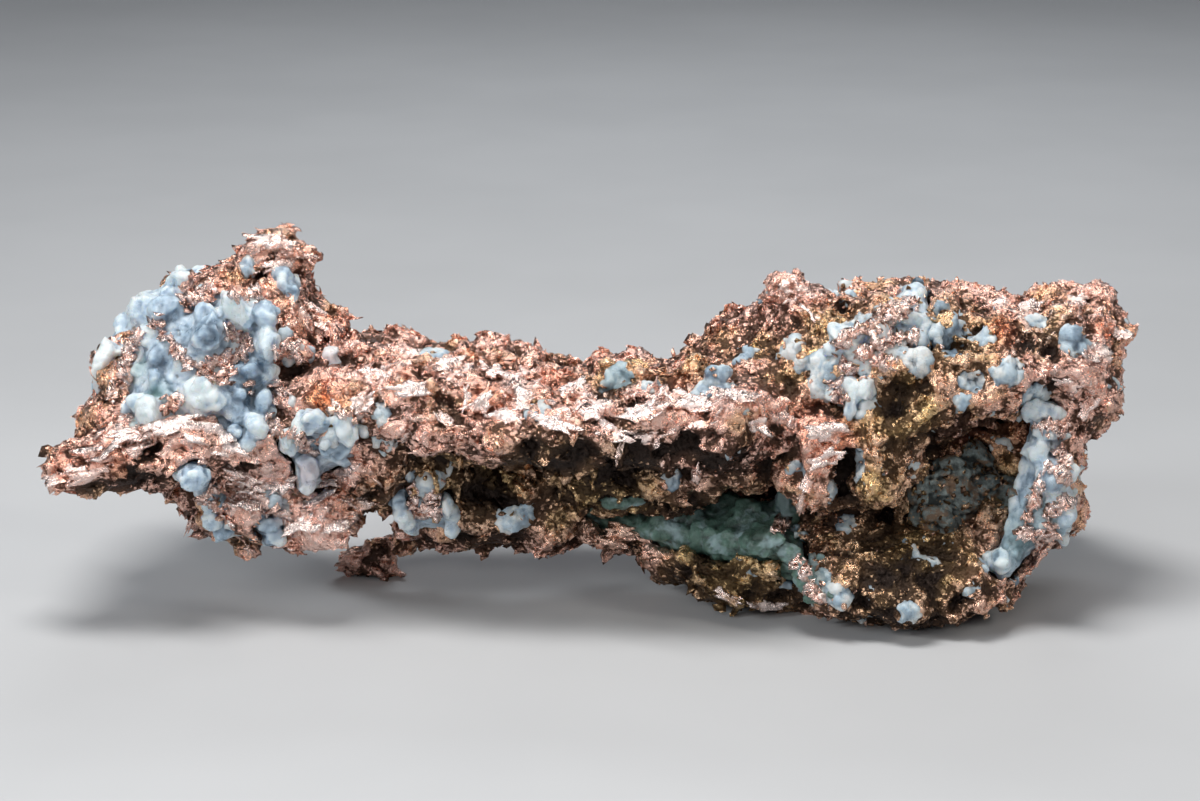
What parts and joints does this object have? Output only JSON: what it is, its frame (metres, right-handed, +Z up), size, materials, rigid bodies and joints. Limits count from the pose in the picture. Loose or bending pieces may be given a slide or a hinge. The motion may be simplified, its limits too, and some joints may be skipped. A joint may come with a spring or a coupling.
{
  "type": "native copper nugget",
  "caption": "Hackly native copper specimen: a knobbed head with a snout, a ledged neck and a heavy lobe with an open pocket, grown through with blue-grey quartz and green prehnite.",
  "frame": {"origin": "on the ground under the middle of the specimen's box", "axes": "+X along the specimen, from the head with its snout to the heavy lobe with the pocket; +Y away from the display side; +Z up as it rests"},
  "size_m": [0.1076, 0.0358, 0.0373],
  "materials": {
    "native_copper": "bright, crumpled native metal, pink on the crests and brown-gold in the hollows",
    "quartz": "milky, blue-grey to white, faintly see-through",
    "prehnite": "waxy blue-green, faintly see-through",
    "wall_rock": "dull, dark grey-green, rough"
  },
  "bodies": {
    "root": {"native_copper": "native_copper", "head_quartz": "quartz", "neck_quartz": "quartz", "throat_quartz": "quartz", "belly_quartz": "quartz", "under_neck_quartz": "quartz", "slope_quartz": "quartz", "ridge_quartz": "quartz", "column_quartz": "quartz", "flank_quartz": "quartz", "back_head_quartz": "quartz", "back_lobe_quartz": "quartz", "green_prehnite": "prehnite", "vug_rock": "wall_rock"}
  },
  "joints": []
}
